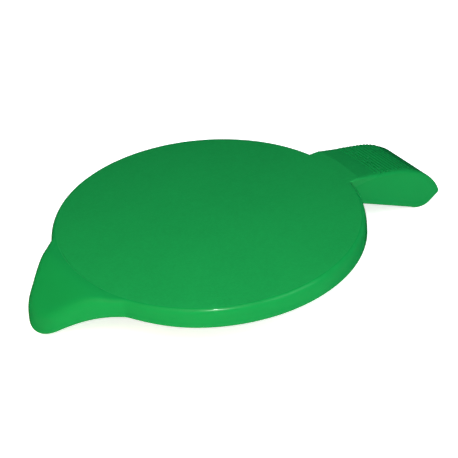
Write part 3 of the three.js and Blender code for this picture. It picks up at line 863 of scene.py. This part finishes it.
def spring_point(travelled, coil_length):
    """The centre of the spring's wire at a length along it, with the outward and sideways directions."""
    wound = min(coil_length, max(0.0, travelled - SPRING_BASE_LEG))
    straight = min(0.0, travelled - SPRING_BASE_LEG) + max(0.0, travelled - SPRING_BASE_LEG - coil_length)
    turn = wound / SPRING_COIL_R - math.pi / 2
    out = Vector((math.cos(turn), 0, math.sin(turn)))
    along = Vector((-math.sin(turn), 0, math.cos(turn)))
    across = 2 * SPRING_HALF * wound / coil_length - SPRING_HALF
    centre = Vector((HINGE_X, across, HINGE_Z)) + out * SPRING_COIL_R + along * straight
    return centre, out, along.cross(out)


def make_spring(material):
    """A torsion spring: a leg under the tongue's bar, the coil on the pin, and a leg under the lever."""
    coil_length = SPRING_COIL_R * (SPRING_TURNS * math.tau + SPRING_ARM_RISE)
    whole = SPRING_BASE_LEG + coil_length + SPRING_COVER_LEG
    rings = []
    for i in range(SPRING_STEPS + 1):
        travelled = whole * i / SPRING_STEPS
        at_end = min(travelled, whole - travelled) <= SPRING_END
        radius = SPRING_WIRE_R * SPRING_END_SHARE if at_end else SPRING_WIRE_R
        centre, out, sideways = spring_point(travelled, coil_length)
        ring = []
        for k in range(WIRE_STEPS):
            turn = math.tau * k / WIRE_STEPS
            ring.append(centre + out * (radius * math.cos(turn)) + sideways * (radius * math.sin(turn)))
        rings.append(ring)
    return finish_piece(skinned(rings), "spring", material)


def make_chute(material):
    """The tapered tube that wasps drop through, hung by its flange in the tray's hole."""
    under = TRAY_FLOOR + FIT
    section = rounded([
        (CHUTE_MOUTH_R, under + CHUTE_FLANGE, 0.2),
        (CHUTE_FOOT_R - CHUTE_FOOT_WALL, CHUTE_FOOT, 0.25),
        (CHUTE_FOOT_R, CHUTE_FOOT, 0.25),
        (CHUTE_TOP_R, under, 0.3),
        (CHUTE_FLANGE_R, under, 0.15),
        (CHUTE_FLANGE_R, under + CHUTE_FLANGE, 0.2),
    ])
    return finish_piece(turned(section, CHUTE_STEPS, CHUTE_X), "chute", material)


def make_flap(material):
    """The one-way flap: a thin sheet hung from a knuckle on its pin."""
    half = FLAP_THICK / 2
    past = FLAP_HALF + PAST
    sheet = block(FLAP_X - half, FLAP_X + half, -FLAP_HALF, FLAP_HALF, TRAY_FLOOR + FIT, FLAP_Z, 0.2)
    knuckle = prism(circle(FLAP_X, FLAP_Z, FLAP_KNUCKLE_R), -FLAP_HALF, FLAP_HALF, side, 0.2)
    bore = prism(circle(FLAP_X, FLAP_Z, FLAP_PIN_R + FIT), -past, past, side)
    return finish_piece(combine(combine(sheet, [knuckle]), [bore], "DIFFERENCE"), "flap", material)


# ---- Materials ----

class Nodes:
    """A short way to make a node material."""

    def __init__(self, name):
        self.material = bpy.data.materials.new(name)
        self.material.use_nodes = True
        self.tree = self.material.node_tree
        self.tree.nodes.clear()

    def add(self, kind, inputs=None, **settings):
        """A new node. Each input is a value, or another node's output that is linked to it."""
        node = self.tree.nodes.new(kind)
        for key, value in settings.items():
            setattr(node, key, value)
        for key, value in (inputs or {}).items():
            socket = node.inputs[key]
            if isinstance(value, bpy.types.NodeSocket):
                self.tree.links.new(value, socket)
            else:
                socket.default_value = value
        return node

    def math(self, operation, a, b=0.0):
        return self.add("ShaderNodeMath", {0: a, 1: b}, operation=operation).outputs[0]

    def fade(self, value, low, high, out_low=0.0, out_high=1.0):
        """Turns a value's range from low to high into another range, and keeps it within that."""
        ranges = {"From Min": low, "From Max": high, "To Min": out_low, "To Max": out_high}
        return self.add("ShaderNodeMapRange", {"Value": value, **ranges}).outputs["Result"]

    def noise(self, vector, scale, detail=2.0, roughness=0.5):
        inputs = {"Vector": vector, "Scale": scale, "Detail": detail, "Roughness": roughness}
        return self.add("ShaderNodeTexNoise", inputs).outputs[0]

    def mix(self, share, a, b):
        node = self.add("ShaderNodeMix", data_type="RGBA")
        sockets = {"Factor_Float": share, "A_Color": a, "B_Color": b}
        for socket in node.inputs:
            if socket.identifier in sockets:
                value = sockets[socket.identifier]
                if isinstance(value, bpy.types.NodeSocket):
                    self.tree.links.new(value, socket)
                else:
                    socket.default_value = value
        return next(s for s in node.outputs if s.identifier == "Result_Color")

    def bump(self, height, distance, strength=1.0, normal=None):
        inputs = {"Height": height, "Distance": distance, "Strength": strength}
        if normal is not None:
            inputs["Normal"] = normal
        return self.add("ShaderNodeBump", inputs).outputs["Normal"]

    def output(self, shader):
        self.add("ShaderNodeOutputMaterial", {"Surface": shader.outputs[0]})
        return self.material


def matt_mask(n, place):
    """1 on the round face, fading out down the lever's top, and 0 on the rim, hood and walls."""
    axes = n.add("ShaderNodeSeparateXYZ", {"Vector": place}).outputs
    level = n.add("ShaderNodeCombineXYZ", {"X": axes["X"], "Y": axes["Y"]}).outputs[0]
    radius = n.add("ShaderNodeVectorMath", {0: level}, operation="LENGTH").outputs["Value"]
    inside = n.fade(radius, (FACE_R + 0.4) * MM, (FACE_R + 0.2) * MM)
    upper = n.fade(axes["Z"], (TOP - 0.3) * MM, (TOP - 0.1) * MM)
    face = n.math("MULTIPLY", inside, upper)
    before_curl = n.fade(axes["X"], 66 * MM, 50 * MM)
    on_top = n.fade(axes["Z"], 5 * MM, 7 * MM)
    past_rim = n.fade(axes["X"], 45 * MM, 46.5 * MM)
    lever = n.math("MULTIPLY", n.math("MULTIPLY", before_curl, on_top), past_rim)
    return n.math("MAXIMUM", face, lever)


def cover_plastic():
    """Green polypropylene: spark-eroded and matt on the face, smoother on the rim, hood and lever."""
    n = Nodes("cover_plastic")
    place = n.add("ShaderNodeTexCoord").outputs["Object"]
    matt = matt_mask(n, place)
    grain = n.noise(place, 2600, 3, 0.6)
    cloud = n.noise(place, 38, 3, 0.55)
    streak = n.noise(place, 420, 2, 0.5)
    deep = (0.0042, 0.192, 0.0427, 1)
    fresh = (0.0048, 0.204, 0.0452, 1)
    pale = (0.0055, 0.235, 0.052, 1)
    tone = n.mix(n.fade(cloud, 0.3, 0.7), deep, fresh)
    speck = n.fade(n.noise(place, 1400, 2, 0.6), 0.38, 0.66)
    tone = n.mix(n.math("MULTIPLY", speck, n.fade(matt, 0, 1, 0.05, 0.5)), tone, pale)
    rough = n.math("ADD", n.fade(matt, 0, 1, 0.24, 0.50), n.fade(streak, 0.3, 0.7, -0.03, 0.03))
    spark = n.math("MULTIPLY", n.math("SUBTRACT", grain, 0.5), matt)
    fine = n.bump(grain, 0.00003, 0.35)
    eroded = n.bump(spark, 0.00006, 0.6, fine)
    peel = n.bump(n.noise(place, 260, 2, 0.5), 0.00002, 0.25, eroded)
    shader = n.add("ShaderNodeBsdfPrincipled", {
        "Base Color": tone,
        "Roughness": rough,
        "Normal": peel,
        "IOR": 1.49,
        "Specular IOR Level": 0.08,
        "Coat Weight": 0.1,
        "Coat Roughness": 0.035,
    })
    return n.output(shader)


def tray_plastic():
    """The same green as the cover, satin, with faint flow marks spreading from the middle."""
    n = Nodes("tray_plastic")
    place = n.add("ShaderNodeTexCoord").outputs["Object"]
    cloud = n.noise(place, 45, 3, 0.55)
    tone = n.mix(n.fade(cloud, 0.3, 0.7), (0.0036, 0.176, 0.039, 1), (0.004, 0.198, 0.043, 1))
    warp = n.noise(place, 30, 2, 0.5)
    flow = n.add("ShaderNodeTexWave", {
        "Vector": place,
        "Scale": 60,
        "Distortion": n.fade(warp, 0, 1, 2, 6),
        "Detail": 2,
    }, wave_type="RINGS", rings_direction="Z").outputs[1]
    rough = n.math("ADD", n.fade(flow, 0, 1, 0.40, 0.46), n.fade(cloud, 0, 1, -0.04, 0.04))
    fine = n.bump(n.noise(place, 2200, 3, 0.6), 0.00003, 0.4)
    shader = n.add("ShaderNodeBsdfPrincipled", {
        "Base Color": tone,
        "Roughness": rough,
        "Normal": n.bump(n.noise(place, 240, 2, 0.5), 0.00002, 0.3, fine),
        "IOR": 1.49,
        "Specular IOR Level": 0.25,
    })
    return n.output(shader)


def gasket_rubber():
    """Dark soft rubber with a fine matt grain and a little pale bloom."""
    n = Nodes("gasket_rubber")
    place = n.add("ShaderNodeTexCoord").outputs["Object"]
    bloom = n.fade(n.noise(place, 150, 4, 0.6), 0.45, 0.8)
    tone = n.mix(bloom, (0.018, 0.019, 0.019, 1), (0.035, 0.036, 0.035, 1))
    shader = n.add("ShaderNodeBsdfPrincipled", {
        "Base Color": tone,
        "Roughness": n.fade(bloom, 0, 1, 0.62, 0.78),
        "Normal": n.bump(n.noise(place, 3000, 3, 0.6), 0.00003, 0.6),
        "IOR": 1.5,
        "Specular IOR Level": 0.35,
    })
    return n.output(shader)


def pin_steel():
    """Ground stainless steel, with fine lines round the pin."""
    n = Nodes("pin_steel")
    place = n.add("ShaderNodeTexCoord").outputs["Object"]
    rings = n.add("ShaderNodeMapping", {"Vector": place, "Scale": (200, 9000, 200)}).outputs[0]
    lines = n.noise(rings, 1, 3, 0.6)
    tone = n.mix(n.noise(place, 400, 2, 0.5), (0.52, 0.53, 0.54, 1), (0.60, 0.61, 0.62, 1))
    shader = n.add("ShaderNodeBsdfPrincipled", {
        "Base Color": tone,
        "Metallic": 0.8,
        "Roughness": n.fade(lines, 0.3, 0.7, 0.20, 0.34),
        "Normal": n.bump(lines, 0.000004, 0.5),
    })
    return n.output(shader)


def spring_steel():
    """Drawn spring wire, darker than the pins, with a mottled oxide."""
    n = Nodes("spring_steel")
    place = n.add("ShaderNodeTexCoord").outputs["Object"]
    mottle = n.fade(n.noise(place, 900, 4, 0.6), 0.35, 0.7)
    tone = n.mix(mottle, (0.36, 0.35, 0.33, 1), (0.46, 0.46, 0.46, 1))
    shader = n.add("ShaderNodeBsdfPrincipled", {
        "Base Color": tone,
        "Metallic": 0.8,
        "Roughness": n.fade(mottle, 0, 1, 0.42, 0.30),
        "Normal": n.bump(n.noise(place, 4000, 2, 0.5), 0.000005, 0.5),
    })
    return n.output(shader)


def clear_plastic():
    """Frosted clear plastic, a little cloudy."""
    n = Nodes("clear_plastic")
    place = n.add("ShaderNodeTexCoord").outputs["Object"]
    cloud = n.fade(n.noise(place, 220, 3, 0.55), 0.3, 0.7)
    tone = n.mix(cloud, (0.80, 0.86, 0.83, 1), (0.88, 0.92, 0.90, 1))
    shader = n.add("ShaderNodeBsdfPrincipled", {
        "Base Color": tone,
        "Roughness": n.fade(cloud, 0, 1, 0.28, 0.38),
        "Normal": n.bump(n.noise(place, 2400, 2, 0.5), 0.00002, 0.4),
        "IOR": 1.49,
        "Transmission Weight": 0.7,
    })
    return n.output(shader)


def floor_material():
    """A plain pale floor that is clear from below, so that the underside can be looked at."""
    n = Nodes("floor")
    place = n.add("ShaderNodeTexCoord").outputs["Object"]
    tone = n.mix(n.noise(place, 6, 2, 0.5), (0.90, 0.90, 0.90, 1), (0.93, 0.93, 0.93, 1))
    diffuse = n.add("ShaderNodeBsdfDiffuse", {"Color": tone})
    glow = n.add("ShaderNodeEmission", {"Color": (1, 1, 1, 1), "Strength": 0.75})
    lit = n.add("ShaderNodeAddShader", {0: diffuse.outputs[0], 1: glow.outputs[0]})
    clear = n.add("ShaderNodeBsdfTransparent")
    behind = n.add("ShaderNodeNewGeometry").outputs["Backfacing"]
    mixed = n.add("ShaderNodeMixShader", {0: behind, 1: lit.outputs[0], 2: clear.outputs[0]})
    return n.output(mixed)


# ---- Stage ----

# The photograph's viewpoint, in metres, with its slight turn and shift.
CAMERA_BACK = Vector((-0.4321, -0.7135, 0.5517)).normalized()
CAMERA_AIM = Vector((0, 0, 0.002))
CAMERA_DISTANCE = 0.6
CAMERA_ROLL = math.radians(-4.3)
CAMERA_LENS = 148.66
CAMERA_SENSOR = 36
CAMERA_SHIFT = (0.0429, 0.0119)
FLOOR_HALF = 1.6
FLOOR_ROWS = 8


def make_camera():
    """The photograph's viewing angle."""
    camera = bpy.data.objects.new("camera", bpy.data.cameras.new("camera"))
    bpy.context.scene.collection.objects.link(camera)
    facing = (-CAMERA_BACK).to_track_quat("-Z", "Y").to_matrix() @ Matrix.Rotation(CAMERA_ROLL, 3, "Z")
    camera.location = CAMERA_AIM + CAMERA_BACK * CAMERA_DISTANCE
    camera.rotation_mode = "QUATERNION"
    camera.rotation_quaternion = facing.to_quaternion()
    camera.data.lens = CAMERA_LENS
    camera.data.sensor_width = CAMERA_SENSOR
    camera.data.shift_x, camera.data.shift_y = CAMERA_SHIFT
    camera.data.clip_start = 0.01
    bpy.context.scene.camera = camera


def resting_line(piece):
    """The slope and height at x = 0 of the line under the hood and the lever, in x and z."""
    slope = 0.0
    points = [v.co for v in piece.data.vertices]
    for _ in range(4):
        hood = min((p for p in points if p.x < 0), key=lambda p: p.z - slope * p.x)
        heel = min((p for p in points if p.x > 0), key=lambda p: p.z - slope * p.x)
        slope = (heel.z - hood.z) / (heel.x - hood.x)
    return slope, heel.z - slope * heel.x


def make_floor(slope, height):
    """A square floor on the line that the lid rests on."""
    mesh = bpy.data.meshes.new("floor")
    vertices = []
    faces = []
    for i in range(FLOOR_ROWS + 1):
        for j in range(FLOOR_ROWS + 1):
            x = FLOOR_HALF * (2 * i / FLOOR_ROWS - 1)
            y = FLOOR_HALF * (2 * j / FLOOR_ROWS - 1)
            vertices.append((x, y, 0))
    for i in range(FLOOR_ROWS):
        for j in range(FLOOR_ROWS):
            a = i * (FLOOR_ROWS + 1) + j
            b = a + FLOOR_ROWS + 1
            faces.append((a, b, b + 1, a + 1))
    mesh.from_pydata(vertices, [], faces)
    mesh.materials.append(floor_material())
    floor = bpy.data.objects.new("floor", mesh)
    bpy.context.scene.collection.objects.link(floor)
    floor.rotation_euler = (0, -math.atan(slope), 0)
    floor.location = (0, 0, height)
    floor.visible_glossy = False


def soft_light(name, azimuth, elevation, distance, size, power, colour=(1, 1, 1)):
    """A square area light aimed at the object, its azimuth turned from the -Y side of the object."""
    a, e = math.radians(azimuth), math.radians(elevation)
    back = Vector((math.sin(a) * math.cos(e), -math.cos(a) * math.cos(e), math.sin(e)))
    data = bpy.data.lights.new(name, "AREA")
    data.size = size
    data.energy = power
    data.color = colour
    light = bpy.data.objects.new(name, data)
    bpy.context.scene.collection.objects.link(light)
    light.location = back * distance
    light.rotation_mode = "QUATERNION"
    light.rotation_quaternion = (-back).to_track_quat("-Z", "Y")
    light.visible_camera = False
    return light


def make_world(strength, colour):
    """Even light from all sides, which the glossy surfaces don't mirror."""
    world = bpy.data.worlds.new("studio")
    bpy.context.scene.world = world
    world.use_nodes = True
    background = world.node_tree.nodes["Background"]
    background.inputs["Color"].default_value = colour
    background.inputs["Strength"].default_value = strength
    world.cycles_visibility.glossy = False


def place_piece(piece, body, node):
    """Fixes a finished piece to its body, in place of a node of the CAD model."""
    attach(piece, body)
    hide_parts(node)


def make_pins():
    """The hinge pin and the flap's pin, of the same steel."""
    steel = pin_steel()
    hinge_pin = make_pin("steel_hinge_pin", HINGE_X, HINGE_Z, HINGE_PIN_R, HINGE_PIN_HALF, steel)
    flap_pin = make_pin("steel_flap_pin", FLAP_X, FLAP_Z, FLAP_PIN_R, FLAP_PIN_HALF, steel)
    place_piece(hinge_pin, "base", "hinge_pin")
    place_piece(flap_pin, "base", "flap_pin")


def hang_spring():
    """Makes the spring in place, with a leg at the tray and a leg at the cover, and hides the CAD model's
    spring. It is fixed to no body.
    """
    spring = make_spring(spring_steel())
    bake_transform(spring)
    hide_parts("torsion_spring")


def light_studio():
    """Close lights in front, which only shade, a soft light at the right, and one for the glint."""
    make_world(0.338, (0.8, 1, 1.27, 1))
    front_left = soft_light("front left", -62, 38, 0.22, 0.2, 0.265, (1.12, 1, 0.4))
    front_right = soft_light("front right", 2, 38, 0.22, 0.2, 0.109, (1.12, 1, 0.4))
    front_high = soft_light("front high", -31, 58, 0.16, 0.12, 0.17, (1.2, 1, 1.1))
    for close in (front_left, front_right, front_high):
        close.visible_glossy = False
    soft_light("right", 25, 35, 0.6, 0.35, 1.34, (0.8, 1, 1))
    glint = soft_light("glint", -30, 38, 0.5, 0.02, 3)
    glint.visible_diffuse = False
    bpy.context.scene.view_settings.view_transform = "Standard"


make_camera()
cover = make_cover(cover_plastic())
clear = clear_plastic()
place_piece(cover, "cover", "cover_shell")
place_piece(make_tray(tray_plastic()), "base", "base_tray")
place_piece(make_gasket(gasket_rubber()), "base", "jar_gasket")
make_pins()
place_piece(make_chute(clear), "base", "entry_chute")
place_piece(make_flap(clear), "flap", "entry_flap")
hang_spring()
make_floor(*resting_line(cover))
light_studio()
